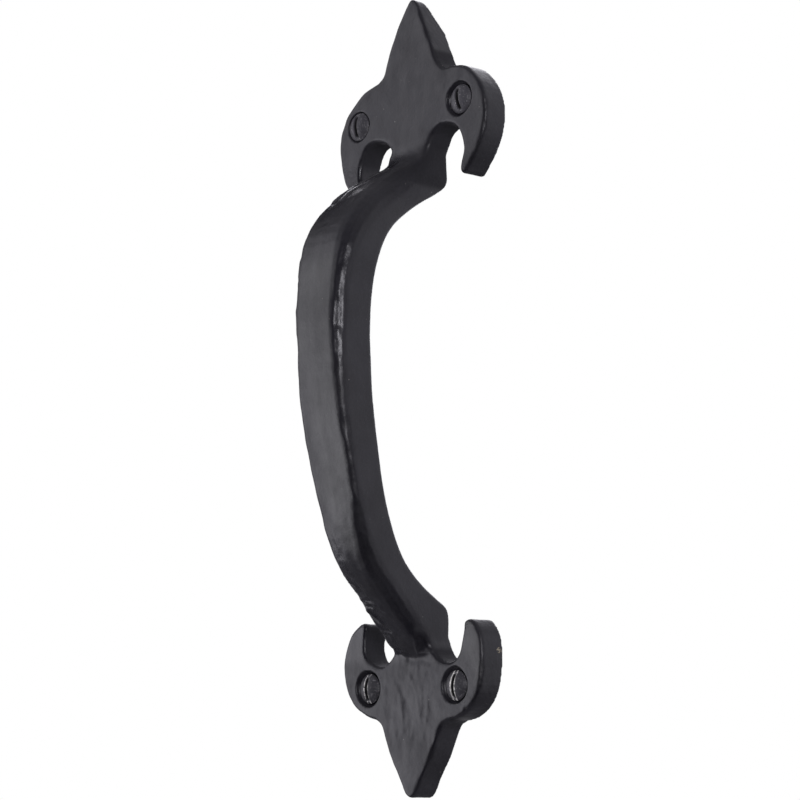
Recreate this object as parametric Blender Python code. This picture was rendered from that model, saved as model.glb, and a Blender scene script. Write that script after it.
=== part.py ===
"""Cast-iron pull handle with a fleur-de-lis plate at each end, and the four slotted screws that hold it.

Frame: +X to the right, +Y into the door and +Z up. The origin lies on the mounting plane, midway
between the tips of the two plates. Sizes are in millimetres here and become metres in the meshes.
"""

import math

import bmesh
import bpy
import numpy as np

MM = 0.001

# Plates
PLATE_THICKNESS = 7.0
EDGE_RADIUS = 0.9
RELIEF_START = 93.0
RELIEF_PER_MM = 0.42
WELD = 0.02

# Each half of a plate's front view, from the tip to the arch under the bar, as smooth runs that
# meet at corners: (x, z).
UPPER_RIGHT = [
    [(0.3, 102.0), (2.1, 100.9), (3.9, 97.4), (6.6, 91.4), (8.6, 87.0), (10.5, 83.2), (12.7, 81.3)],
    [(12.7, 81.3), (16.2, 81.2), (20.0, 80.4), (23.5, 77.7), (26.5, 73.8), (28.1, 68.4), (27.4, 62.8)]
    + [(24.8, 57.7), (21.4, 53.7)],
    [(21.4, 53.7), (20.8, 52.9), (19.8, 52.5), (18.9, 53.0), (18.6, 54.0), (18.8, 55.6)],
    [(18.8, 55.6), (19.7, 59.2), (18.3, 63.6), (15.2, 66.1), (11.6, 66.6), (8.8, 65.1), (7.4, 62.8)]
    + [(5.6, 59.5)],
]
UPPER_LEFT = [
    [(0.3, 102.0), (-1.3, 101.0), (-4.0, 97.4), (-7.4, 91.6), (-9.3, 87.2), (-10.5, 84.0), (-12.8, 82.4)],
    [(-12.8, 82.4), (-16.0, 81.8), (-19.6, 80.3), (-23.2, 77.7), (-26.5, 73.9), (-28.2, 68.4), (-27.8, 62.8)]
    + [(-25.9, 57.4), (-23.1, 53.9)],
    [(-23.1, 53.9), (-21.7, 52.8), (-20.1, 52.6), (-19.1, 53.6), (-19.2, 55.6)],
    [(-19.2, 55.6), (-20.0, 58.8), (-19.1, 62.8), (-17.4, 65.6), (-15.0, 66.7), (-12.0, 66.4)]
    + [(-9.4, 65.3), (-7.8, 63.0), (-6.0, 60.0)],
]
LOWER_RIGHT = [
    [(-0.3, -102.0), (1.4, -101.1), (3.6, -97.4), (7.4, -91.8), (10.1, -86.5), (11.5, -84.3), (13.7, -83.3)],
    [(13.7, -83.3), (17.5, -82.6), (21.7, -80.2), (24.4, -76.6), (25.7, -71.6), (25.9, -67.0), (25.4, -63.4)]
    + [(24.0, -60.9), (22.0, -59.6), (20.2, -59.8), (19.1, -61.2), (18.5, -63.8), (17.4, -67.2)]
    + [(14.4, -69.2), (11.3, -68.7), (8.6, -66.6), (7.1, -63.6), (5.6, -60.5)],
]
LOWER_LEFT = [
    [(-0.3, -102.0), (-2.3, -101.0), (-4.6, -97.4), (-8.0, -91.8), (-10.2, -86.5), (-11.3, -84.0)]
    + [(-13.3, -82.8)],
    [(-13.3, -82.8), (-17.0, -81.8), (-21.2, -79.6), (-24.1, -76.2), (-25.8, -71.3), (-25.6, -66.8)]
    + [(-24.0, -62.6), (-21.8, -59.8), (-19.6, -58.4), (-17.8, -58.2), (-16.9, -59.2), (-17.4, -62.4)]
    + [(-17.4, -65.4), (-16.2, -67.6), (-13.8, -69.0), (-10.6, -69.3), (-7.8, -67.6), (-5.0, -64.0)],
]

# The bar between the plates, as stations from the upper plate to the lower one: the back and the
# front of the section in side view (y, z, y, z), its half width, the x of its middle and the radii
# of its front corners, left and right.
BAR_STATIONS = [
    (0.0, 74.0, -6.0, 74.0, 5.8, 0.0, 1.0, 1.0),
    (0.0, 66.0, -6.3, 67.5, 6.9, -0.3, 1.0, 1.0),
    (0.0, 59.0, -6.9, 63.0, 7.2, -0.4, 1.2, 1.4),
    (0.0, 54.0, -8.2, 59.7, 7.5, -0.4, 1.6, 2.2),
    (-1.2, 51.8, -10.1, 58.0, 7.8, -0.3, 2.1, 3.2),
    (-5.2, 49.1, -13.5, 55.7, 8.1, -0.2, 2.6, 4.2),
    (-10.0, 46.4, -17.0, 53.7, 8.4, -0.1, 2.8, 4.8),
    (-14.6, 43.4, -20.9, 51.2, 8.6, 0.0, 3.0, 5.2),
    (-19.8, 39.2, -27.4, 46.4, 9.1, 0.1, 3.2, 5.4),
    (-23.2, 35.0, -32.5, 40.4, 9.6, 0.0, 3.2, 5.0),
    (-25.5, 30.0, -36.0, 33.3, 9.6, 0.0, 3.2, 4.2),
    (-26.9, 22.5, -38.0, 23.9, 9.3, -0.1, 3.2, 3.5),
    (-27.3, 14.0, -38.5, 14.0, 8.8, 0.0, 3.0, 3.2),
    (-26.9, 2.0, -37.9, 1.2, 8.6, 0.1, 2.6, 2.6),
    (-25.9, -9.0, -36.4, -10.4, 8.4, 0.3, 2.2, 2.2),
    (-24.3, -19.0, -34.3, -20.9, 8.3, 0.5, 2.0, 2.0),
    (-22.2, -28.0, -31.9, -30.6, 8.0, 0.4, 2.0, 2.2),
    (-19.5, -35.0, -29.5, -39.0, 7.3, 0.3, 2.0, 3.0),
    (-16.2, -41.3, -25.4, -47.0, 6.8, 0.1, 2.2, 3.8),
    (-12.3, -46.0, -20.2, -52.3, 6.6, -0.2, 2.2, 4.2),
    (-8.0, -49.8, -16.0, -56.8, 6.5, -0.2, 2.0, 4.2),
    (-3.6, -52.9, -12.4, -60.8, 6.5, 0.0, 1.8, 3.6),
    (-0.6, -55.2, -9.5, -64.3, 6.6, 0.4, 1.5, 2.6),
    (0.0, -58.0, -7.1, -66.8, 6.6, 0.5, 1.2, 1.6),
    (0.0, -64.0, -6.4, -70.0, 6.6, 0.3, 1.0, 1.0),
    (0.0, -74.0, -6.0, -74.0, 5.8, 0.0, 1.0, 1.0),
]
BACK_CORNER_RADIUS = 1.2
FRONT_CROWN = 0.35
CORNER_STEPS = 4
STATION_STEPS = 3
RUN_STEPS = 3

# Number 8 raised countersunk slotted wood screws, nominally five eighths of an inch long
HEAD_DIAMETER = 7.5
HEAD_EDGE = 0.3
DOME_HEIGHT = 1.6
SHANK_DIAMETER = 4.17
THREAD_ROOT_DIAMETER = 3.2
SCREW_LENGTH = 14.6
PLAIN_SHANK_LENGTH = 6.5
POINT_LENGTH = 4.0
SLOT_WIDTH = 1.15
SLOT_DEPTH = 1.15
SCREW_SIDES = 20
GAP = 0.3

# Holes in the plates
HOLE_DIAMETER = 5.0
MOUTH_WALL = 0.6
HOLE_SIDES = 32

# Where each screw goes (x, z), how far its slot leans from upright, in degrees, and the diameter of
# its countersink's mouth
SCREWS = {
    "screw_upper_left": (-20.2, 72.1, 0.0, 8.1),
    "screw_upper_right": (18.4, 72.0, 15.0, 9.1),
    "screw_lower_left": (-16.1, -74.8, 0.0, 9.1),
    "screw_lower_right": (16.1, -74.9, -3.0, 9.1),
}


def clear_scene():
    for obj in list(bpy.data.objects):
        bpy.data.objects.remove(obj, do_unlink=True)


def make_material(name, colour, roughness, metallic):
    material = bpy.data.materials.new(name)
    material.use_nodes = True
    shader = material.node_tree.nodes["Principled BSDF"]
    shader.inputs["Base Color"].default_value = (*colour, 1.0)
    shader.inputs["Roughness"].default_value = roughness
    shader.inputs["Metallic"].default_value = metallic
    return material


def smooth_curve(points, steps):
    """Points of a centripetal Catmull-Rom curve that passes through the given ones."""
    given = np.array(points, float)
    padded = np.vstack([2 * given[0] - given[1], given, 2 * given[-1] - given[-2]])
    knots = np.concatenate([[0.0], np.cumsum(np.linalg.norm(np.diff(padded, axis=0), axis=1) ** 0.5)])
    curve = []
    for i in range(1, len(padded) - 2):
        t0, t1, t2, t3 = knots[i - 1 : i + 3]
        p0, p1, p2, p3 = padded[i - 1 : i + 3]
        for t in np.linspace(t1, t2, steps, endpoint=False):
            a1 = (t1 - t) / (t1 - t0) * p0 + (t - t0) / (t1 - t0) * p1
            a2 = (t2 - t) / (t2 - t1) * p1 + (t - t1) / (t2 - t1) * p2
            a3 = (t3 - t) / (t3 - t2) * p2 + (t - t2) / (t3 - t2) * p3
            b1 = (t2 - t) / (t2 - t0) * a1 + (t - t0) / (t2 - t0) * a2
            b2 = (t3 - t) / (t3 - t1) * a2 + (t - t1) / (t3 - t1) * a3
            curve.append((t2 - t) / (t2 - t1) * b1 + (t - t1) / (t2 - t1) * b2)
    curve.append(given[-1])
    return np.array(curve)


def whole_outline(right_runs, left_runs):
    """A plate's closed outline from its two halves, counterclockwise."""
    outline = []
    for runs, beyond_tip in ((right_runs, left_runs[0][1]), (left_runs, right_runs[0][1])):
        half = list(smooth_curve([beyond_tip, *runs[0]], RUN_STEPS)[RUN_STEPS:-1])
        for run in runs[1:]:
            half += list(smooth_curve(run, RUN_STEPS)[:-1])
        half.append(runs[-1][-1])
        outline += half if runs is right_runs else half[:0:-1]
    outline = np.array(outline)
    x, z = outline.T
    area = np.sum(x * np.roll(z, -1) - z * np.roll(x, -1))
    return outline if area > 0 else outline[::-1]


def inset_outline(outline, distance):
    """The outline moved inwards by a distance, each point along the mean of its two edges' normals."""
    edges = np.roll(outline, -1, axis=0) - outline
    normals = np.stack([-edges[:, 1], edges[:, 0]], axis=1) / np.linalg.norm(edges, axis=1)[:, None]
    before = np.roll(normals, 1, axis=0)
    middle = normals + before
    scale = 2 * distance / np.maximum(np.sum(middle * middle, axis=1), 1.6)
    return outline + middle * scale[:, None]


def bridge(bm, rings):
    """Joins rings of vertices one after another with quads, and closes both ends."""
    count = len(rings[0])
    for first, second in zip(rings, rings[1:]):
        for i in range(count):
            j = (i + 1) % count
            bm.faces.new((first[i], first[j], second[j], second[i]))
    bm.faces.new(rings[0])
    bm.faces.new(rings[-1])


def finish_mesh(bm, name):
    """A mesh in metres with its faces pointing out, shaded smooth across shallow angles."""
    bmesh.ops.recalc_face_normals(bm, faces=bm.faces)
    bmesh.ops.scale(bm, vec=(MM, MM, MM), verts=bm.verts)
    mesh = bpy.data.meshes.new(name)
    bm.to_mesh(mesh)
    bm.free()
    mesh.shade_smooth()
    mesh.set_sharp_from_angle(angle=math.radians(35))
    return mesh


def add_object(name, mesh, material=None, parent=None):
    obj = bpy.data.objects.new(name, mesh)
    bpy.context.scene.collection.objects.link(obj)
    obj.parent = parent
    if material:
        obj.data.materials.append(material)
    return obj


def as_helper(obj):
    """Marks an object that only shapes another one."""
    obj.hide_render = True
    obj.display_type = "WIRE"
    return obj


def combine(obj, helper, operation):
    modifier = obj.modifiers.new(f"{operation.title()} {helper.name}", "BOOLEAN")
    modifier.operation = operation
    modifier.solver = "EXACT"
    modifier.object = helper


def plate_mesh(name, right_runs, left_runs, relieved=False):
    """A plate with a flat back at y = 0 and a rounded front edge; its tip's back may be relieved."""
    outline = whole_outline(right_runs, left_runs)
    rounded = math.radians(45)
    levels = [
        (0.0, 0.0),
        (0.0, PLATE_THICKNESS - EDGE_RADIUS),
        (EDGE_RADIUS * (1 - math.cos(rounded)), PLATE_THICKNESS - EDGE_RADIUS * (1 - math.sin(rounded))),
        (EDGE_RADIUS, PLATE_THICKNESS),
    ]
    bm = bmesh.new()
    rings = []
    for inset, height in levels:
        points = inset_outline(outline, inset)
        rings.append([bm.verts.new((x, -height, z)) for x, z in points])
    bridge(bm, rings)
    if relieved:
        everything = bm.verts[:] + bm.edges[:] + bm.faces[:]
        bmesh.ops.bisect_plane(bm, geom=everything, plane_co=(0, 0, RELIEF_START), plane_no=(0, 0, 1))
        bmesh.ops.remove_doubles(bm, verts=bm.verts, dist=WELD)
        for vertex in bm.verts:
            relief = max(0.0, vertex.co.z - RELIEF_START) * RELIEF_PER_MM
            vertex.co.y -= relief * (1 + vertex.co.y / PLATE_THICKNESS)
    return finish_mesh(bm, name)


def bar_section(half_width, depth, left_radius, right_radius):
    """The bar's section as (across, outwards) points: a rounded rectangle with a crowned front."""
    corners = [
        (half_width, 0.0, BACK_CORNER_RADIUS, -90),
        (half_width, depth, right_radius, 0),
        (-half_width, depth, left_radius, 90),
        (-half_width, 0.0, BACK_CORNER_RADIUS, 180),
    ]
    section = []
    for across, outwards, radius, start in corners:
        centre_across = across - math.copysign(radius, across)
        centre_outwards = outwards - radius if outwards else radius
        for step in range(CORNER_STEPS + 1):
            angle = math.radians(start + 90 * step / CORNER_STEPS)
            turned_across = centre_across + radius * math.cos(angle)
            section.append((turned_across, centre_outwards + radius * math.sin(angle)))
        if start == 0:
            section.append((0.0, depth))
    crowned = []
    for across, outwards in section:
        lift = FRONT_CROWN * (1 - (across / half_width) ** 2) if outwards > depth / 2 else 0.0
        crowned.append((across, outwards + lift))
    return crowned


def bar_mesh():
    bm = bmesh.new()
    rings = []
    for station in smooth_curve(BAR_STATIONS, STATION_STEPS):
        back_y, back_z, front_y, front_z, half_width, middle, left_radius, right_radius = station
        back_y = min(back_y, 0.0)
        depth = math.hypot(front_y - back_y, front_z - back_z)
        out_y = (front_y - back_y) / depth
        out_z = (front_z - back_z) / depth
        ring = []
        for across, outwards in bar_section(half_width, depth, left_radius, right_radius):
            place = (middle + across, back_y + outwards * out_y, back_z + outwards * out_z)
            ring.append(bm.verts.new(place))
        rings.append(ring)
    bridge(bm, rings)
    return finish_mesh(bm, "handle_casting")


def turned_mesh(name, profile, sides):
    """A body turned about Y from (radius, y) points, whose first and last points lie on the axis."""
    bm = bmesh.new()
    rings = []
    for radius, y in profile[1:-1]:
        ring = []
        for side in range(sides):
            angle = 2 * math.pi * side / sides
            ring.append(bm.verts.new((radius * math.cos(angle), y, radius * math.sin(angle))))
        rings.append(ring)
    for first, second in zip(rings, rings[1:]):
        for i in range(sides):
            j = (i + 1) % sides
            bm.faces.new((first[i], first[j], second[j], second[i]))
    for (_, y), ring in ((profile[0], rings[0]), (profile[-1], rings[-1])):
        pole = bm.verts.new((0.0, y, 0.0))
        for i in range(sides):
            bm.faces.new((pole, ring[i], ring[(i + 1) % sides]))
    return finish_mesh(bm, name)


def box_mesh(name, low, high):
    bm = bmesh.new()
    bmesh.ops.create_cube(bm, size=1.0)
    for vertex in bm.verts:
        for axis in range(3):
            vertex.co[axis] = high[axis] if vertex.co[axis] > 0 else low[axis]
    return finish_mesh(bm, name)


def head_sink(mouth_diameter):
    """How far the head's rim lies below the plate's face, with the gap kept between the two cones."""
    return MOUTH_WALL + (mouth_diameter - HEAD_DIAMETER) / 2 - HEAD_EDGE - GAP * math.sqrt(2)


def screw_profile():
    """From the top of the dome to the point, with the head's rim at y = 0 and the point at +Y."""
    rim = HEAD_DIAMETER / 2
    sphere = (rim**2 + DOME_HEIGHT**2) / (2 * DOME_HEIGHT)
    half_angle = math.asin(rim / sphere)
    dome = []
    for step in range(6):
        angle = half_angle * step / 5
        dome.append((sphere * math.sin(angle), sphere - DOME_HEIGHT - sphere * math.cos(angle)))
    shank = SHANK_DIAMETER / 2
    root = THREAD_ROOT_DIAMETER / 2
    cone_end = HEAD_EDGE + rim - shank
    return dome + [
        (rim, HEAD_EDGE),
        (shank, cone_end),
        (shank, PLAIN_SHANK_LENGTH),
        (root, PLAIN_SHANK_LENGTH + shank - root),
        (root, SCREW_LENGTH - POINT_LENGTH),
        (0.0, SCREW_LENGTH),
    ]


def hole_profile(mouth_diameter):
    """A countersunk hole, from just outside the front face to just behind the back."""
    mouth = mouth_diameter / 2
    hole = HOLE_DIAMETER / 2
    margin = 1.0
    face = -PLATE_THICKNESS
    return [
        (0.0, face - margin),
        (mouth, face - margin),
        (mouth, face + MOUTH_WALL),
        (hole, face + MOUTH_WALL + mouth - hole),
        (hole, margin),
        (0.0, margin),
    ]


def build_casting(parent, material):
    casting = add_object("handle_casting", bar_mesh(), material, parent)
    upper = plate_mesh("upper_plate", UPPER_RIGHT, UPPER_LEFT, relieved=True)
    lower = plate_mesh("lower_plate", LOWER_RIGHT, LOWER_LEFT)
    for mesh in (upper, lower):
        combine(casting, as_helper(add_object(mesh.name, mesh, parent=parent)), "UNION")
    for name, (x, z, _, mouth) in SCREWS.items():
        hole_mesh = turned_mesh(name.replace("screw", "hole"), hole_profile(mouth), HOLE_SIDES)
        hole = as_helper(add_object(hole_mesh.name, hole_mesh, parent=parent))
        hole.location = (x * MM, 0.0, z * MM)
        combine(casting, hole, "DIFFERENCE")


def build_screws(parent, material):
    screw_mesh = turned_mesh("screw", screw_profile(), SCREW_SIDES)
    screw_mesh.materials.append(material)
    reach = HEAD_DIAMETER
    low = (-SLOT_WIDTH / 2, -DOME_HEIGHT - reach, -reach)
    high = (SLOT_WIDTH / 2, -DOME_HEIGHT + SLOT_DEPTH, reach)
    slot_mesh = box_mesh("screw_slot", low, high)
    for name, (x, z, lean, mouth) in SCREWS.items():
        screw = add_object(name, screw_mesh, parent=parent)
        rim_y = head_sink(mouth) - PLATE_THICKNESS
        screw.location = (x * MM, rim_y * MM, z * MM)
        screw.rotation_euler = (0.0, math.radians(-lean), 0.0)
        slot = as_helper(add_object(name.replace("screw", "slot"), slot_mesh, parent=screw))
        combine(screw, slot, "DIFFERENCE")


def main():
    clear_scene()
    handle = add_object("pull_handle", None)
    iron = make_material("black_painted_iron", (0.018, 0.018, 0.020), 0.38, 0.0)
    black_steel = make_material("black_japanned_steel", (0.014, 0.014, 0.015), 0.42, 0.0)
    build_casting(handle, iron)
    build_screws(handle, black_steel)


main()
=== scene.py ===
"""Looks of the cast-iron pull handle: the casting's rough painted skin, and the screws with their threads.

The casting and the screws are shaped in millimetres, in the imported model's frame, and end up in metres.
The lamps, the floor and the depths of the paint's bumps are in metres.
"""

import math

import bmesh
import bpy
import numpy as np
from mathutils import Matrix, Vector, noise


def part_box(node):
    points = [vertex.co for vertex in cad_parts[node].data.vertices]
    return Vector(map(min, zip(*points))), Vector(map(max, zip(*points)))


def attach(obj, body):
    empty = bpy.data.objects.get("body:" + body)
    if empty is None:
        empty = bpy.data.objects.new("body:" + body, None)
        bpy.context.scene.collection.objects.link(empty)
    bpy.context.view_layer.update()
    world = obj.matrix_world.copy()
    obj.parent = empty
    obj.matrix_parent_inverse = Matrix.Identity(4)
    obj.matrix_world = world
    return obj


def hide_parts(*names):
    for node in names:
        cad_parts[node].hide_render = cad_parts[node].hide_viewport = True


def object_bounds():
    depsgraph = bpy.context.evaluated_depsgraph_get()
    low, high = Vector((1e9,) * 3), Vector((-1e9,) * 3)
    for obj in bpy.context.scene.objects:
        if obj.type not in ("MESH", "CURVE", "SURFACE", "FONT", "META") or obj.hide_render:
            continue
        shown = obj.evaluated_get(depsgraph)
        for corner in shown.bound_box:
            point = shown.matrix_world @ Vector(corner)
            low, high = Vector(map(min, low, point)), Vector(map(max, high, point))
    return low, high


MM = 0.001

# Casting
SKIN_VOXEL = 0.30
SKIN_SMOOTHING = 20
JUNCTION_ROUNDS = 60
LEAST_WEIGHT = 0.01

# Stretches of the casting along z: 0 up to the first number, 1 from the second to the third, 0 past the last
GRIP_MIDDLE = (-44.0, -36.0, 34.0, 42.0)
LOW_BEND = (-66.0, -60.0, -32.0, -22.0)
LOW_BEND_HOLLOW = (-60.0, -48.0, -34.0, -22.0)
HIGH_LEG = (38.0, 44.0, 54.0, 58.0)
UPPER_JUNCTION = (54.0, 57.0, 66.0, 68.0)
LOWER_JUNCTION = (-71.0, -69.0, -61.5, -59.0)
UPPER_LEG_GLOSS = (36.0, 46.0, 60.0, 64.0)
LOWER_LEG_GLOSS = (-70.0, -66.0, -44.0, -30.0)
GRIP_EDGE_GLOSS = (-6.0, 5.0, 34.0, 40.0)
UPPER_ARCHES = (50.0, 52.0, 68.0, 70.0)
LOWER_ARCHES = (-73.0, -71.0, -60.0, -58.0)
LOWER_HOOKS = (-64.0, -62.0, -56.0, -50.0)
UPPER_SHOULDERS = (78.0, 80.0, 86.0, 88.0)
# The rounded edge between front and sides, by how far it faces forward
ROUNDED_EDGE = (0.15, 0.40, 0.80, 0.98)

# The lower right hook's rounded top
HOOK_LIFT = 0.65
HOOK_MIDDLE = 20.9
HOOK_SPREAD = 2.2
HOOK_TOP = (-64.0, -61.0, -56.0, -50.0)

# How steeply folded noise falls away from its ridges
RIDGE_SLOPE = 2.2
# How far the flow lines of the plates sway sideways
FLOW_SWAY = 1.6

# Marks of the mould and the fettling: how high (below zero, how deep), how wide, and the line they follow
MARKS = [
    (-0.60, 1.2, [(6.4, -9.2, -64.4), (6.0, -8.2, -65.6)]),
    (0.26, 0.5, [(5.6, -10.4, -63.2), (4.2, -8.8, -65.2), (3.6, -7.6, -66.6), (7.4, -6.9, -66.4)]),
    (-0.25, 1.0, [(-6.4, -8.4, -64.6), (-4.6, -8.3, -65.6), (-2.8, -7.4, -67.2), (-0.6, -7.1, -67.6)]),
    (-0.25, 1.0, [(-0.6, -7.1, -67.6), (1.6, -7.2, -68.4), (3.6, -7.0, -67.9), (7.2, -7.0, -69.0)]),
    (-0.10, 0.9, [(-6.6, -7.0, -70.3), (-4.6, -7.0, -74.0), (-2.2, -7.0, -77.2), (0.0, -7.0, -81.0)]),
    (0.10, 0.6, [(-0.2, -7.0, -72.0), (2.4, -7.0, -76.2), (3.4, -7.0, -82.0)]),
    (0.09, 0.6, [(-5.0, -7.0, -74.6), (-3.9, -7.0, -78.0), (-2.8, -7.0, -82.0), (-2.6, -7.0, -86.0)]),
    (0.27, 0.5, [(-5.0, -18.8, -53.2), (-2.5, -18.9, -54.2), (0.9, -17.7, -55.6)]),
    (-0.27, 0.5, [(-5.0, -17.8, -54.8), (-2.2, -17.6, -55.6), (0.6, -16.6, -57.0)]),
    (0.27, 0.5, [(-5.0, -16.6, -55.8), (-4.1, -16.4, -56.7), (-2.1, -14.4, -59.2)]),
    (-0.27, 0.6, [(-5.0, -14.6, -58.2), (-3.6, -13.4, -60.2), (-1.5, -12.2, -61.2)]),
    (0.27, 0.6, [(-5.4, -24.0, -47.6), (-4.4, -23.0, -49.0), (-3.0, -22.4, -50.0)]),
    (0.32, 1.5, [(-8.2, -15.0, 55.4), (-8.3, -19.5, 52.6), (-7.9, -24.0, 48.8), (-6.0, -27.5, 43.5)]),
    (-0.26, 0.9, [(-6.4, -13.0, 56.2), (-5.6, -16.5, 54.2), (-6.6, -22.5, 50.6)]),
    (0.40, 0.8, [(-1.4, -13.3, 56.2), (-3.2, -17.2, 53.8), (-4.8, -21.7, 50.9), (-5.5, -27.7, 46.4)]),
    (0.14, 0.9, [(-5.8, -29.0, 45.0), (-6.6, -31.0, 42.6), (-7.0, -33.5, 39.4)]),
    (0.28, 0.8, [(-0.8, -22.6, 50.5), (-2.4, -24.6, 49.0), (-2.0, -28.0, 46.2)]),
    (0.25, 1.0, [(-8.6, -36.6, 30.0), (-8.6, -37.4, 26.5)]),
    (-0.25, 1.0, [(-8.6, -37.8, 22.8), (-8.6, -37.8, 21.0)]),
    (0.25, 1.3, [(-8.6, -37.9, 17.0), (-8.6, -37.9, 12.0)]),
    (-0.16, 1.0, [(8.0, -35.6, 31.0), (8.0, -36.4, 27.5)]),
    (-0.34, 1.5, [(7.8, -37.6, 17.5), (7.8, -37.7, 12.5)]),
    (-0.10, 0.9, [(7.8, -37.6, 8.0), (7.8, -37.2, 5.0)]),
    (0.70, 2.0, [(-7.4, -3.0, 62.5), (-7.2, -6.0, 60.5)]),
    (-0.20, 0.5, [(19.8, -6.9, -80.6), (20.2, -6.7, -80.3)]),
]
# Where the paint is chipped or rubbed through: how wide, and where
CHIPS = [
    (0.45, (19.9, -6.9, -80.5)),
    (1.6, (25.7, -1.2, -66.6)),
    (0.30, (-0.6, -38.8, 17.4)),
    (0.28, (8.7, -31.8, -7.3)),
    (0.30, (4.6, -13.2, -60.1)),
    (0.25, (6.4, -9.4, -56.3)),
]

# Screws
HEAD_DIAMETER = 7.5
HEAD_RIM = HEAD_DIAMETER / 2
HEAD_EDGE = 0.3
DOME_HEIGHT = 1.6
DOME_RADIUS = (HEAD_RIM**2 + DOME_HEIGHT**2) / (2 * DOME_HEIGHT)
DOME_STEPS = 12
SHANK_RADIUS = 4.17 / 2
THREAD_ROOT_RADIUS = 3.0 / 2
THREAD_PITCH = 1.69
# Half a thread crest's foot, as a share of the pitch, and how fast the crests fade at the point
CREST_HALF_WIDTH = 0.28
CREST_FADE = 1.6
SCREW_LENGTH = 14.6
PLAIN_SHANK_LENGTH = 6.5
POINT_LENGTH = 4.0
POINT_RADIUS = 0.02
SCREW_SIDES = 96
FIRST_RING = 0.15
RING_STEP = 0.12
SLOT_WIDTH = 1.15
SLOT_DEPTH = 1.2
SLOT_CUTTER_RISE = 2.0
SCREW_VOXEL = 0.11
# Each screw: its slot's lean in degrees, how much steel shows on its head, from scuffed slot edges and a
# painted glint on its right, and how light its paint is
SCREWS = {
    "screw_upper_left": (0.0, 0.25, 1.5),
    "screw_upper_right": (8.0, 0.2, 1.7),
    "screw_lower_left": (0.0, 0.7, 1.0),
    "screw_lower_right": (-3.0, 1.0, 1.2),
}

# Paint and metal: colours, and stops of ramps as (position, colour)
FRESH_PAINT = [(0.35, (0.0135, 0.0128, 0.0165)), (0.65, (0.0185, 0.0178, 0.0230))]
# Lighter paint on the grip's front: partly thinned by hands, partly a painted highlight
THINNED_PAINT_AND_HIGHLIGHT = [(0.35, (0.044, 0.044, 0.046)), (0.65, (0.058, 0.058, 0.059))]
DUST = (0.16, 0.15, 0.14)
BARE_IRON = (0.36, 0.31, 0.22)
GLOSSY_ROUGHNESS = 0.24
DULL_ROUGHNESS = 0.8
SCREW_PAINT = (0.038, 0.037, 0.042)
SCREW_SPECK = (0.17, 0.166, 0.172)
# Steel for scuffed slot edges, and for a painted glint on the screw heads
BARE_STEEL_AND_GLINT = (0.86, 0.84, 0.80)
# Painted shade: near black in the screw slots
SLOT_SHADE = (0.004, 0.004, 0.004)
SLOT_ROUGHNESS = 0.9
STEEL_METALLIC = 0.6

# Camera
CAMERA_PLACE = (481.2, -436.9, -100.4)
CAMERA_AZIMUTH = 48.45
CAMERA_PITCH = 8.61
CAMERA_LENS = 116.27

# Floor
FLOOR_DROP = 38.0
FLOOR_RADIUS = 2.5
FLOOR_SIDES = 96
FLOOR_COLOUR = (0.85, 0.85, 0.85, 1.0)
FLOOR_ROUGHNESS = 0.9

# Surroundings: an even level, and soft patches (direction, cosines where each starts and is full, strength)
WORLD_LEVEL = 0.36
WORLD_COLOUR = (1.0, 0.985, 1.06, 1.0)
BACKDROP_COLOUR = (1.0, 1.0, 1.0, 1.0)
WORLD_PATCHES = [
    ((-0.58, 0.76, 0.31), 0.855, 0.965, 3.6),
    ((-0.22, 0.72, 0.66), 0.82, 0.98, 0.28),
    ((-0.82, 0.24, 0.55), 0.88, 0.97, -0.32),
    ((0.76, 0.62, 0.20), 0.50, 0.95, 0.32),
    ((0.62, -0.78, 0.00), 0.15, 0.80, -0.33),
    ((0.0, 0.0, -1.0), 0.05, 0.60, -0.22),
]
LAMP_COLOUR = (1.0, 0.985, 1.055)
# Soft boxes: name, azimuth, elevation, distance, width, height, power
LAMPS = [
    ("front_left_box", -50.0, -7.0, 1.2, 0.95, 0.75, 3.5),
    ("high_left_box", -52.0, 27.0, 1.2, 0.90, 0.46, 1.25),
    ("edge_strip", 52.0, 9.0, 1.2, 0.11, 0.42, 4.2),
]


# ---------------------------------------------------------------- meshes

def mesh_object(name, mesh):
    obj = bpy.data.objects.new(name, mesh)
    bpy.context.scene.collection.objects.link(obj)
    return obj


def remeshed(obj, voxel, name):
    """A new mesh of the object's shape in even quads, both in millimetres; the old object is removed."""
    modifier = obj.modifiers.new("Even skin", "REMESH")
    modifier.mode = "VOXEL"
    modifier.voxel_size = voxel
    bpy.context.view_layer.update()
    graph = bpy.context.evaluated_depsgraph_get()
    mesh = bpy.data.meshes.new_from_object(obj.evaluated_get(graph))
    mesh.name = name
    bpy.data.objects.remove(obj, do_unlink=True)
    return mesh


def read_points(mesh):
    points = np.empty(len(mesh.vertices) * 3)
    mesh.vertices.foreach_get("co", points)
    return points.reshape(-1, 3)


def write_points(mesh, points):
    mesh.vertices.foreach_set("co", points.astype(np.float32).ravel())
    mesh.update()


def read_normals(mesh):
    normals = np.empty(len(mesh.vertices) * 3, np.float32)
    mesh.vertex_normals.foreach_get("vector", normals)
    return normals.reshape(-1, 3).astype(float)


def read_edges(mesh):
    edges = np.empty(len(mesh.edges) * 2, np.int64)
    mesh.edges.foreach_get("vertices", edges)
    return edges.reshape(-1, 2).T


def neighbour_sum(first, second, values):
    """For each point, the sum of the values at the other ends of its edges."""
    total = np.bincount(first, values[second], len(values))
    return total + np.bincount(second, values[first], len(values))


def neighbour_count(first, second, size):
    return np.bincount(first, minlength=size) + np.bincount(second, minlength=size)


def relax(mesh, rounds, shrink=0.5, swell=-0.52):
    """Smooths the mesh, each round with a shrinking and a swelling step so that it keeps its size."""
    points = read_points(mesh)
    first, second = read_edges(mesh)
    count = neighbour_count(first, second, len(points))
    for _ in range(rounds):
        for factor in (shrink, swell):
            total = np.empty_like(points)
            for axis in range(3):
                total[:, axis] = neighbour_sum(first, second, points[:, axis])
            points = points + factor * (total / count[:, None] - points)
    write_points(mesh, points)


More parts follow.
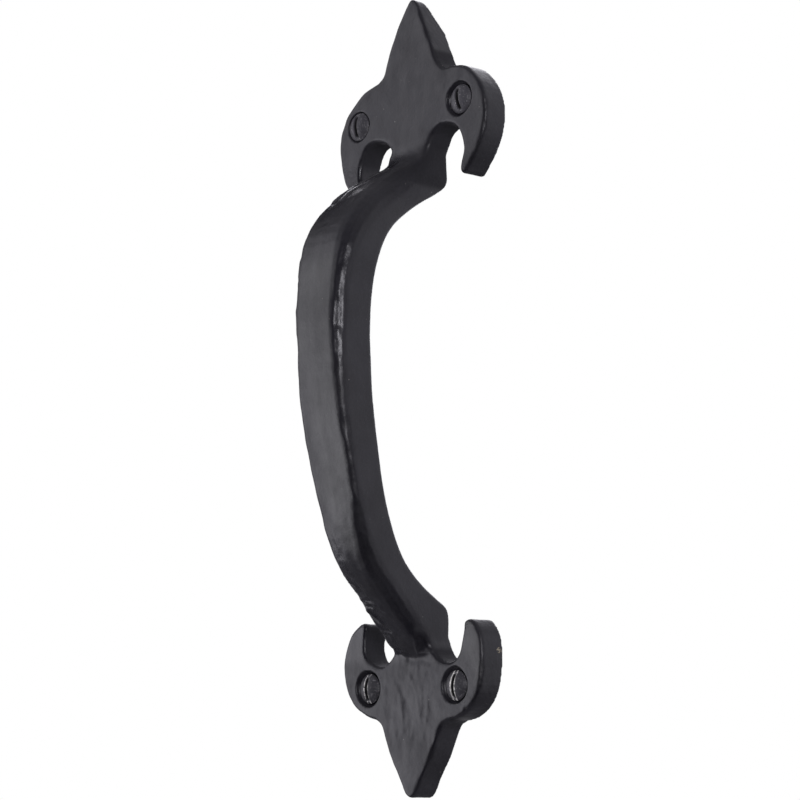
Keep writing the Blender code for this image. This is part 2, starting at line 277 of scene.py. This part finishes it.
def soften(mesh, weights, rounds, step=0.5):
    """Rounds the mesh off where the weights are high, by shrinking steps alone."""
    points = read_points(mesh)
    first, second = read_edges(mesh)
    kept = (weights[first] > LEAST_WEIGHT) | (weights[second] > LEAST_WEIGHT)
    first, second = first[kept], second[kept]
    count = neighbour_count(first, second, len(points))
    inner = weights > LEAST_WEIGHT
    share = (step * weights / np.maximum(count, 1))[inner]
    for _ in range(rounds):
        for axis in range(3):
            column = points[:, axis]
            total = neighbour_sum(first, second, column)
            points[inner, axis] += share * (total[inner] - count[inner] * column[inner])
    write_points(mesh, points)


def noise_at(points, wavelength, seed):
    """Smooth noise from about -1 to 1 at each point; the wavelength may differ along the three axes."""
    seed_step = 17.31
    scaled = points / np.array(wavelength) + seed * seed_step
    return np.array([noise.noise(Vector(p)) for p in scaled])


def ridges_at(points, wavelength, seed):
    """Noise folded into narrow ridges, with 1 on each crest."""
    return 1 - np.abs(noise_at(points, wavelength, seed)) * RIDGE_SLOPE


def ramp_up(low, high, values):
    """0 at low and 1 at high, with an even start and end; low may be above high."""
    t = np.clip((values - low) / (high - low), 0.0, 1.0)
    return t * t * (3 - 2 * t)


def within(values, stretch):
    """1 inside a stretch and 0 outside it, with a soft start and end."""
    start, full, fading, end = stretch
    return ramp_up(start, full, values) * ramp_up(end, fading, values)


def bell(values, width):
    """1 at zero, falling softly to either side."""
    return np.exp(-((values / width) ** 2))


def distance_to_line(points, corners):
    nearest = np.full(len(points), np.inf)
    corners = np.array(corners, float)
    for start, end in zip(corners, corners[1:]):
        along = end - start
        t = np.clip((points - start) @ along / (along @ along), 0.0, 1.0)
        nearest = np.minimum(nearest, np.linalg.norm(points - start - t[:, None] * along, axis=1))
    return nearest


def add_attribute(mesh, name, values):
    mesh.attributes.new(name, "FLOAT", "POINT").data.foreach_set("value", values.astype(np.float32))


def scale_to_metres(mesh):
    mesh.transform(Matrix.Scale(MM, 4))


# ---------------------------------------------------------------- casting

def skin_layers(zones):
    """The rough skin's layers of noise: height, wavelengths along x, y and z, and seed."""
    front, corner, lower, grip, middle, low_bend = zones
    return [
        # Broad unevenness, strongest on the grip, and waves over all
        (0.10 + 0.14 * middle, (13.0, 13.0, 15.0), 1),
        (0.055 + 0.020 * (1 - grip), (4.2, 4.2, 5.0), 2),
        # Edges dressed by hand
        ((0.20 - 0.06 * grip) * corner, (3.6, 3.6, 3.6), 11),
        # Long scratches and small dents down the grip's front
        (0.012 * grip * front, (1.5, 1.5, 16.0), 3),
        (0.030 * grip * front, (2.4, 2.4, 3.6), 10),
        # Grain of the sand mould, stronger in the lower plate
        (0.018 + 0.016 * lower, (1.1, 1.1, 1.2), 4),
        # Dents on the lower bend, and an uneven edge along the grip
        (0.09 * low_bend * front, (2.2, 2.2, 3.0), 12),
        (0.16 * middle * corner, (7.0, 7.0, 8.0), 13),
    ]


def plate_relief(points, lower_front, upper_front):
    """Flow lines and mottling on the fronts of the two plates."""
    x, _, z = points.T
    sway = FLOW_SWAY * noise_at(points, (7.0, 7.0, 9.0), 5)
    flowing = points + np.stack([sway, 0 * sway, 0 * sway], axis=1)
    flow = 0.10 * ridges_at(flowing, (2.6, 9.0, 11.0), 6)
    mottling = 0.11 * noise_at(points, (2.0, 2.2, 2.6), 14)
    below_crease = lower_front * ramp_up(13.0, 8.0, np.abs(x)) * ramp_up(-96.0, -88.0, z)
    ripple = 0.045 * noise_at(flowing, (2.4, 9.0, 8.0), 7)
    pitting = 0.045 * noise_at(points, (3.0, 3.0, 3.4), 16)
    return (flow + mottling) * below_crease + (ripple + pitting) * upper_front


def leg_relief(points, normals, lower):
    """Creases across the lower leg and folds down the upper one, both on their left."""
    x, _, z = points.T
    low_leg = ramp_up(-42.0, -50.0, z) * (1 - lower)
    left_and_front = ramp_up(-0.50, -0.20, normals[:, 0]) * ramp_up(0.2, 0.5, -normals[:, 1])
    creased = low_leg * ramp_up(4.0, -3.0, x) * ramp_up(-10.2, -9.2, x) * left_and_front
    creases = 0.17 * ridges_at(points, (6.0, 2.6, 2.0), 8)
    folded = within(z, HIGH_LEG) * ramp_up(3.0, -4.0, x)
    folds = 0.16 * noise_at(points, (2.6, 8.0, 6.0), 9)
    return creases * creased + folds * folded


def casting_relief(points, normals):
    """How far the rough skin stands above the smooth shape at each point."""
    x, y, z = points.T
    forward = -normals[:, 1]
    front = ramp_up(0.35, 0.9, forward)
    corner = within(forward, ROUNDED_EDGE)
    lower = ramp_up(-65.0, -69.0, z)
    upper = ramp_up(60.0, 65.0, z)
    grip = 1 - lower - upper
    middle = within(z, GRIP_MIDDLE)
    low_bend = within(z, LOW_BEND)
    relief = np.zeros(len(points))
    for height, wavelength, seed in skin_layers((front, corner, lower, grip, middle, low_bend)):
        relief += height * noise_at(points, wavelength, seed)
    bend_hollow = 0.45
    relief -= bend_hollow * within(z, LOW_BEND_HOLLOW) * ramp_up(1.0, -8.0, x)
    relief += plate_relief(points, lower * front, upper * front)
    relief += leg_relief(points, normals, lower)
    for height, width, corners in MARKS:
        relief += height * bell(distance_to_line(points, corners), width)
    hook = bell(x - HOOK_MIDDLE, HOOK_SPREAD) * within(z, HOOK_TOP) * ramp_up(0.2, 0.7, normals[:, 2])
    off_the_back = ramp_up(0.4, 2.4, -y)
    return relief * off_the_back + HOOK_LIFT * hook


def junction_weights(points):
    """Where the bar's front runs into the two plates."""
    x, y, z = points.T
    lower_share = 0.35
    junctions = within(z, UPPER_JUNCTION) + lower_share * within(z, LOWER_JUNCTION)
    return junctions * ramp_up(11.0, 8.0, np.abs(x)) * ramp_up(-4.5, -5.6, y)


def chipped_at(points):
    """Where the paint is off, from the list of chips."""
    chipped = np.zeros(len(points))
    for width, place in CHIPS:
        chipped = np.maximum(chipped, bell(np.linalg.norm(points - np.array(place), axis=1), width))
    return chipped


def glossy_at(points, normals, facing):
    """Where the paint is glossy: the left of both legs, and the right edge of the grip's upper half."""
    x, _, z = points.T
    legs = (within(z, UPPER_LEG_GLOSS) + within(z, LOWER_LEG_GLOSS)) * ramp_up(2.0, -3.0, x)
    edge_share = 0.6
    edge = ramp_up(0.30, 0.45, normals[:, 0]) * facing * within(z, GRIP_EDGE_GLOSS)
    return np.maximum(legs, edge_share * edge)


def dull_at(points, normals, facing):
    """Where the paint is dull: side faces in the arches, on the lower hooks and on the upper shoulders."""
    side = np.abs(points[:, 0])
    z = points[:, 2]
    upper_arch_inset = 3.0
    hook_share = 0.45
    arches = within(z, LOWER_ARCHES) + within(z, UPPER_ARCHES)
    dull = arches * ramp_up(7.4, 8.4, side + upper_arch_inset * (z > 0.0)) * ramp_up(20.5, 19.0, side)
    dull += hook_share * within(z, LOWER_HOOKS) * ramp_up(16.0, 18.0, side)
    dull += within(z, UPPER_SHOULDERS) * ramp_up(16.5, 13.5, side)
    on_side = (1 - facing) * ramp_up(0.7, 0.3, normals[:, 1])
    return np.clip(dull, 0.0, 1.0) * on_side


def thinned_and_lit_at(points, normals, facing):
    """Where the grip's front gets lighter paint: partly paint thinned by hands, partly a painted highlight;
    less on the left of its lower half, where the highlight gives way to painted shade.
    """
    x, _, z = points.T
    thinned_and_lit_end = -38.0 - 1.5 * x + 4.0 * noise_at(points, (3.0, 3.0, 5.0), 15)
    along_grip = ramp_up(-3.0, 3.0, z - thinned_and_lit_end) * ramp_up(36.0, 26.0, z)
    flat_front = facing * ramp_up(0.44, 0.06, np.abs(normals[:, 0]))
    # Painted shade: less of the lighter paint on the left of the lower half, where the highlight ends
    spared_and_shaded = 0.7 * ramp_up(10.0, -4.0, z) * ramp_up(0.5, -5.5, x)
    return along_grip * flat_front * (1 - spared_and_shaded)


def casting_skin(node):
    """The casting's fine skin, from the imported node's own shape."""
    source = node.data.copy()
    source.transform(Matrix.Scale(1 / MM, 4))
    mesh = remeshed(mesh_object("casting_source", source), SKIN_VOXEL, "casting_skin")
    relax(mesh, SKIN_SMOOTHING)
    soften(mesh, junction_weights(read_points(mesh)), JUNCTION_ROUNDS)
    points = read_points(mesh)
    normals = read_normals(mesh)
    points += normals * casting_relief(points, normals)[:, None]
    write_points(mesh, points)
    relax(mesh, 1)

    points = read_points(mesh)
    normals = read_normals(mesh)
    facing = ramp_up(0.3, 0.7, -normals[:, 1])
    add_attribute(mesh, "chipped", chipped_at(points))
    add_attribute(mesh, "glossy", glossy_at(points, normals, facing))
    add_attribute(mesh, "dull", dull_at(points, normals, facing))
    add_attribute(mesh, "thinned_and_lit", thinned_and_lit_at(points, normals, facing))
    scale_to_metres(mesh)
    mesh.shade_smooth()
    return mesh_object("casting_skin", mesh)


# ---------------------------------------------------------------- screws

def screw_radius(y, turn):
    """The screw's radius at a distance y below the head's rim, and at a fraction of a turn round it."""
    cone_end = HEAD_EDGE + HEAD_RIM - SHANK_RADIUS
    if y <= HEAD_EDGE:
        return HEAD_RIM
    if y <= cone_end:
        return HEAD_RIM - (y - HEAD_EDGE)
    if y <= PLAIN_SHANK_LENGTH:
        return SHANK_RADIUS
    phase = (y / THREAD_PITCH - turn) % 1.0
    crest = max(0.0, 1 - abs(phase - 0.5) / CREST_HALF_WIDTH)
    grown = min(1.0, (y - PLAIN_SHANK_LENGTH) / THREAD_PITCH)
    core = SHANK_RADIUS + (THREAD_ROOT_RADIUS - SHANK_RADIUS) * grown
    taper = min(1.0, max(0.0, (SCREW_LENGTH - y) / POINT_LENGTH))
    height = (SHANK_RADIUS - core) * crest * min(1.0, taper * CREST_FADE)
    return max(POINT_RADIUS, core * taper + height)


def screw_rings():
    """Rings of the blank from the dome's top to the point, each side's radius and height."""
    half_angle = math.asin(HEAD_RIM / DOME_RADIUS)
    rings = []
    for step in range(1, DOME_STEPS + 1):
        angle = half_angle * step / DOME_STEPS
        radius = DOME_RADIUS * math.sin(angle)
        y = DOME_RADIUS - DOME_HEIGHT - DOME_RADIUS * math.cos(angle)
        rings.append([(radius, y)] * SCREW_SIDES)
    for y in np.arange(FIRST_RING, SCREW_LENGTH, RING_STEP):
        rings.append([(screw_radius(y, side / SCREW_SIDES), y) for side in range(SCREW_SIDES)])
    return rings


def screw_blank(name):
    """The screw without its slot, with its dome toward -Y."""
    bm = bmesh.new()
    verts = []
    for ring in screw_rings():
        row = []
        for side, (radius, y) in enumerate(ring):
            angle = 2 * math.pi * side / SCREW_SIDES
            row.append(bm.verts.new((radius * math.cos(angle), y, radius * math.sin(angle))))
        verts.append(row)
    for first, second in zip(verts, verts[1:]):
        for i in range(SCREW_SIDES):
            j = (i + 1) % SCREW_SIDES
            bm.faces.new((first[i], first[j], second[j], second[i]))
    for y, ring in ((-DOME_HEIGHT, verts[0]), (SCREW_LENGTH, verts[-1])):
        pole = bm.verts.new((0.0, y, 0.0))
        for i in range(SCREW_SIDES):
            bm.faces.new((pole, ring[i], ring[(i + 1) % SCREW_SIDES]))
    bmesh.ops.recalc_face_normals(bm, faces=bm.faces)
    mesh = bpy.data.meshes.new(name)
    bm.to_mesh(mesh)
    bm.free()
    return mesh_object(name + "_blank", mesh)


def slot_cutter(name):
    """A bar along z that stands over the dome and reaches down to the slot's floor."""
    bm = bmesh.new()
    bmesh.ops.create_cube(bm, size=1.0)
    for vertex in bm.verts:
        vertex.co.x *= SLOT_WIDTH
        vertex.co.y = -DOME_HEIGHT + SLOT_DEPTH if vertex.co.y > 0 else -DOME_HEIGHT - SLOT_CUTTER_RISE
        vertex.co.z *= 2 * HEAD_DIAMETER
    mesh = bpy.data.meshes.new(name + "_slot")
    bm.to_mesh(mesh)
    bm.free()
    return mesh_object(name + "_slot", mesh)


def mark_wear_and_glint(mesh):
    """Adds where the screw's head shows steel, from scuffed slot edges and a painted glint on the right of
    its rim and beside its slot, and where the slot is sunk and gets painted shade.
    """
    points = read_points(mesh)
    x, y, z = points.T
    radial = np.hypot(x, z)
    dome = np.sqrt(np.maximum(DOME_RADIUS**2 - radial**2, 0)) - (DOME_RADIUS - DOME_HEIGHT)
    below = y + dome
    slot_edge = bell(np.abs(np.abs(x) - SLOT_WIDTH / 2), 0.30) * bell(below, 0.36)
    # Painted glint: steel on the right of the rim and beside the slot, on the lit side only, unlike the
    # scuffed slot edges
    head_right = ramp_up(0.4, 2.4, x) * ramp_up(1.0, 0.2, y)
    rim_right = 0.40 * ramp_up(HEAD_RIM - 0.5, HEAD_RIM - 0.1, radial) * head_right
    beside_slot = ramp_up(1.5, 0.7, x) * ramp_up(0.5, 0.6, x) * ramp_up(2.6, 1.2, np.abs(z + 0.3))
    beside_slot = 0.70 * beside_slot * ramp_up(0.8, 0.3, below)
    add_attribute(mesh, "wear_and_glint", np.maximum(slot_edge, np.maximum(rim_right, beside_slot)))
    # Painted shade: the slot's floor and walls are near black
    in_slot = ramp_up(SLOT_WIDTH / 2 + 0.12, SLOT_WIDTH / 2 - 0.02, np.abs(x))
    add_attribute(mesh, "sunk", in_slot * ramp_up(0.25, 0.60, below) * ramp_up(1.0, 0.5, y))


def screw_body(name, lean):
    """One screw in millimetres along +Y with the middle of its head's rim at the origin."""
    blank = screw_blank(name)
    cutter = slot_cutter(name)
    blank.modifiers.new("Slot", "BOOLEAN").object = cutter
    mesh = remeshed(blank, SCREW_VOXEL, name)
    bpy.data.objects.remove(cutter, do_unlink=True)
    relax(mesh, 2)
    mark_wear_and_glint(mesh)
    mesh.transform(Matrix.Rotation(math.radians(-lean), 4, "Y"))
    mesh.shade_smooth()
    return mesh


def place_screw(node_name, lean):
    mesh = screw_body(node_name + "_fine", lean)
    low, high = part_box(node_name)
    middle = (Vector(low) + Vector(high)) / 2
    rim_y = low[1] + DOME_HEIGHT * MM
    scale_to_metres(mesh)
    mesh.transform(Matrix.Translation((middle.x, rim_y, middle.z)))
    return mesh_object(node_name + "_fine", mesh)


# ---------------------------------------------------------------- materials

def new_material(name):
    material = bpy.data.materials.new(name)
    material.use_nodes = True
    tree = material.node_tree
    return material, tree, tree.nodes["Principled BSDF"]


def add_node(tree, kind, **settings):
    node = tree.nodes.new(kind)
    for key, value in settings.items():
        setattr(node, key, value)
    return node


def attribute(tree, name):
    return add_node(tree, "ShaderNodeAttribute", attribute_name=name).outputs["Fac"]


def product(tree, first, second):
    node = add_node(tree, "ShaderNodeMath", operation="MULTIPLY")
    tree.links.new(first, node.inputs[0])
    tree.links.new(second, node.inputs[1])
    return node.outputs["Value"]


def noise_node(tree, scale, detail=4.0, roughness=0.55):
    """Noise in the object's own space; the scale is in waves to the metre."""
    coordinates = add_node(tree, "ShaderNodeTexCoord")
    texture = add_node(tree, "ShaderNodeTexNoise")
    texture.inputs["Scale"].default_value = scale
    texture.inputs["Detail"].default_value = detail
    texture.inputs["Roughness"].default_value = roughness
    tree.links.new(coordinates.outputs["Object"], texture.inputs["Vector"])
    return texture.outputs["Fac"]


def ramp(tree, source, stops):
    """A ramp between two stops of (position, colour)."""
    node = add_node(tree, "ShaderNodeValToRGB")
    for element, (position, value) in zip(node.color_ramp.elements, stops):
        element.position = position
        element.color = (*value, 1.0)
    tree.links.new(source, node.inputs["Fac"])
    return node.outputs["Color"]


def grey_ramp(tree, source, start, end):
    """A ramp between two stops of (position, grey)."""
    return ramp(tree, source, [(position, (grey, grey, grey)) for position, grey in (start, end)])


def mask(tree, source, low, high):
    """0 up to low and 1 from high."""
    return grey_ramp(tree, source, (low, 0.0), (high, 1.0))


def mixed(tree, factor, first, second):
    """One number or another, by a factor; each may be a socket or a constant."""
    node = add_node(tree, "ShaderNodeMix", data_type="FLOAT")
    for socket, value in ((node.inputs[0], factor), (node.inputs[2], first), (node.inputs[3], second)):
        if isinstance(value, (int, float)):
            socket.default_value = value
        else:
            tree.links.new(value, socket)
    return node.outputs[0]


def mixed_colour(tree, factor, first, second):
    """One colour or another, by a factor; each colour may be a socket or a constant."""
    node = add_node(tree, "ShaderNodeMix", data_type="RGBA")
    tree.links.new(factor, node.inputs[0])
    for socket, value in ((node.inputs[6], first), (node.inputs[7], second)):
        if isinstance(value, tuple):
            socket.default_value = (*value, 1.0)
        else:
            tree.links.new(value, socket)
    return node.outputs[2]


def bumps(tree, layers, shader):
    """Stacks bumps on the shader's normal: (height socket, strength, depth in metres)."""
    normal = None
    for height, strength, depth in layers:
        bump = add_node(tree, "ShaderNodeBump")
        bump.inputs["Strength"].default_value = strength
        bump.inputs["Distance"].default_value = depth
        tree.links.new(height, bump.inputs["Height"])
        if normal:
            tree.links.new(normal, bump.inputs["Normal"])
        normal = bump.outputs["Normal"]
    tree.links.new(normal, shader.inputs["Normal"])


def painted_iron():
    """Black paint on rough iron: lighter on the grip's front, partly thinned by hands and partly a painted
    highlight, with specks of dust and a few chips.
    """
    material, tree, shader = new_material("black_painted_iron")
    fresh = ramp(tree, noise_node(tree, 85.0), FRESH_PAINT)
    thinned_and_highlight = ramp(tree, noise_node(tree, 140.0), THINNED_PAINT_AND_HIGHLIGHT)
    # Painted highlight, partly thinned paint: the grip's front is lighter
    paint = mixed_colour(tree, attribute(tree, "thinned_and_lit"), fresh, thinned_and_highlight)
    dust = mask(tree, noise_node(tree, 1100.0, 1.0), 0.80, 0.83)
    dusty = mixed_colour(tree, dust, paint, DUST)
    grit = product(tree, attribute(tree, "chipped"), noise_node(tree, 3800.0, 2.0))
    colour = mixed_colour(tree, mask(tree, grit, 0.44, 0.50), dusty, BARE_IRON)
    tree.links.new(colour, shader.inputs["Base Color"])

    matt = grey_ramp(tree, noise_node(tree, 120.0, 3.0), (0.35, 0.36), (0.65, 0.47))
    finish = mixed(tree, attribute(tree, "glossy"), matt, GLOSSY_ROUGHNESS)
    roughness = mixed(tree, attribute(tree, "dull"), finish, DULL_ROUGHNESS)
    tree.links.new(roughness, shader.inputs["Roughness"])
    bumps(tree, [
        (noise_node(tree, 420.0, 3.0), 0.40, 0.00015),
        (noise_node(tree, 1250.0, 2.0), 0.55, 0.00008),
    ], shader)
    return material


def screw_paint(name, wear_and_glint, tone):
    """Thin grey-black paint on a screw, with steel showing at scuffed slot edges and as a painted glint on
    the head's right, and painted shade in the slot.
    """
    material, tree, shader = new_material(name)
    scuffed_and_glint = product(tree, attribute(tree, "wear_and_glint"), noise_node(tree, 1500.0, 3.0))
    low = 0.62 - 0.36 * wear_and_glint
    bare_and_glint = mask(tree, scuffed_and_glint, low, low + 0.1)
    specks = mask(tree, noise_node(tree, 2400.0, 1.0), 0.60, 0.72)
    sunk = attribute(tree, "sunk")
    dark = tuple(channel * tone for channel in SCREW_PAINT)
    speckled = mixed_colour(tree, specks, dark, SCREW_SPECK)
    # Steel colour for the scuffed slot edges and for the painted glint
    outer = mixed_colour(tree, bare_and_glint, speckled, BARE_STEEL_AND_GLINT)
    # Painted shade in the sunk slot
    tree.links.new(mixed_colour(tree, sunk, outer, SLOT_SHADE), shader.inputs["Base Color"])
    tree.links.new(mixed(tree, bare_and_glint, 0.0, STEEL_METALLIC), shader.inputs["Metallic"])
    gloss = grey_ramp(tree, noise_node(tree, 700.0), (0.3, 0.34), (0.7, 0.52))
    tree.links.new(mixed(tree, sunk, gloss, SLOT_ROUGHNESS), shader.inputs["Roughness"])
    bumps(tree, [(noise_node(tree, 1900.0, 3.0), 0.7, 0.00014)], shader)
    return material


# ---------------------------------------------------------------- stage

def direction_to(azimuth, elevation):
    """Unit vector by degrees; azimuth 0 is toward -Y, in front of the handle, and +90 to its right."""
    turn = math.radians(azimuth)
    rise = math.radians(elevation)
    return Vector((math.sin(turn) * math.cos(rise), -math.cos(turn) * math.cos(rise), math.sin(rise)))


def place_camera():
    data = bpy.data.cameras.new("camera")
    data.lens = CAMERA_LENS
    data.sensor_width = 36.0
    data.clip_start = 0.01
    camera = bpy.data.objects.new("camera", data)
    bpy.context.scene.collection.objects.link(camera)
    camera.location = Vector(CAMERA_PLACE) * MM
    backward = direction_to(CAMERA_AZIMUTH, -CAMERA_PITCH)
    camera.rotation_euler = (-backward).to_track_quat("-Z", "Y").to_euler()
    bpy.context.scene.camera = camera


def area_light(name, azimuth, elevation, distance, width, height, power):
    """A soft box that looks at the origin."""
    data = bpy.data.lights.new(name, "AREA")
    data.shape = "RECTANGLE"
    data.size = width
    data.size_y = height
    data.energy = power
    data.color = LAMP_COLOUR
    lamp = bpy.data.objects.new(name, data)
    bpy.context.scene.collection.objects.link(lamp)
    lamp.location = direction_to(azimuth, elevation) * distance
    lamp.rotation_euler = (-lamp.location).to_track_quat("-Z", "Y").to_euler()


def world_glow(tree, direction, toward, low, high, strength):
    """A soft bright or dark patch of the surroundings round one direction."""
    dot = add_node(tree, "ShaderNodeVectorMath", operation="DOT_PRODUCT")
    tree.links.new(direction, dot.inputs[0])
    dot.inputs[1].default_value = Vector(toward).normalized()
    patch = add_node(tree, "ShaderNodeMapRange", interpolation_type="SMOOTHSTEP")
    patch.inputs["From Min"].default_value = low
    patch.inputs["From Max"].default_value = high
    patch.inputs["To Max"].default_value = strength
    tree.links.new(dot.outputs["Value"], patch.inputs["Value"])
    return patch.outputs["Result"]


def world_strength(tree):
    """The even level with every patch added to it."""
    direction = add_node(tree, "ShaderNodeTexCoord").outputs["Generated"]
    total = add_node(tree, "ShaderNodeValue").outputs["Value"]
    total.default_value = WORLD_LEVEL
    for patch in WORLD_PATCHES:
        added = add_node(tree, "ShaderNodeMath", operation="ADD")
        tree.links.new(total, added.inputs[0])
        tree.links.new(world_glow(tree, direction, *patch), added.inputs[1])
        total = added.outputs["Value"]
    return total


def light_stage():
    """The surroundings light the handle, and the camera sees plain white behind it."""
    world = bpy.data.worlds.new("studio")
    bpy.context.scene.world = world
    world.use_nodes = True
    tree = world.node_tree
    surroundings = tree.nodes["Background"]
    surroundings.inputs["Color"].default_value = WORLD_COLOUR
    tree.links.new(world_strength(tree), surroundings.inputs["Strength"])
    backdrop = add_node(tree, "ShaderNodeBackground")
    backdrop.inputs["Color"].default_value = BACKDROP_COLOUR
    rays = add_node(tree, "ShaderNodeLightPath")
    mix = add_node(tree, "ShaderNodeMixShader")
    tree.links.new(rays.outputs["Is Camera Ray"], mix.inputs["Fac"])
    tree.links.new(surroundings.outputs["Background"], mix.inputs[1])
    tree.links.new(backdrop.outputs["Background"], mix.inputs[2])
    tree.links.new(mix.outputs["Shader"], tree.nodes["World Output"].inputs["Surface"])
    for lamp in LAMPS:
        area_light(*lamp)


def lay_floor(cad_low):
    bm = bmesh.new()
    bmesh.ops.create_circle(bm, cap_ends=True, segments=FLOOR_SIDES, radius=FLOOR_RADIUS)
    mesh = bpy.data.meshes.new("floor")
    bm.to_mesh(mesh)
    bm.free()
    floor = mesh_object("floor", mesh)
    floor.location = (0.0, 0.0, cad_low[2] - FLOOR_DROP * MM)
    material, _, shader = new_material("pale_floor")
    shader.inputs["Base Color"].default_value = FLOOR_COLOUR
    shader.inputs["Roughness"].default_value = FLOOR_ROUGHNESS
    mesh.materials.append(material)
    floor.visible_glossy = False
    floor.visible_shadow = False


# ---------------------------------------------------------------- scene

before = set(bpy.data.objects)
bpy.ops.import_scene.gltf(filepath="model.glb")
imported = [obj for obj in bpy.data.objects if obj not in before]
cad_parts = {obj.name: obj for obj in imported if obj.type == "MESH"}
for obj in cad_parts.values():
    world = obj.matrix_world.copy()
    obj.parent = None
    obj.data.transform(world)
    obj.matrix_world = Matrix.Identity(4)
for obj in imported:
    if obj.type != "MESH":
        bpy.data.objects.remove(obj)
cad_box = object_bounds()

place_camera()
light_stage()
lay_floor(cad_box[0])
bpy.context.scene.view_settings.view_transform = "Standard"

skin = casting_skin(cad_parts["handle_casting"])
skin.data.materials.clear()
skin.data.materials.append(painted_iron())
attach(skin, "root")
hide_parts("handle_casting")

for screw_name, (slot_lean, head_wear_and_glint, paint_tone) in SCREWS.items():
    screw = place_screw(screw_name, slot_lean)
    screw.data.materials.clear()
    screw.data.materials.append(screw_paint(screw_name + "_paint", head_wear_and_glint, paint_tone))
    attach(screw, "root")
    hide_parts(screw_name)
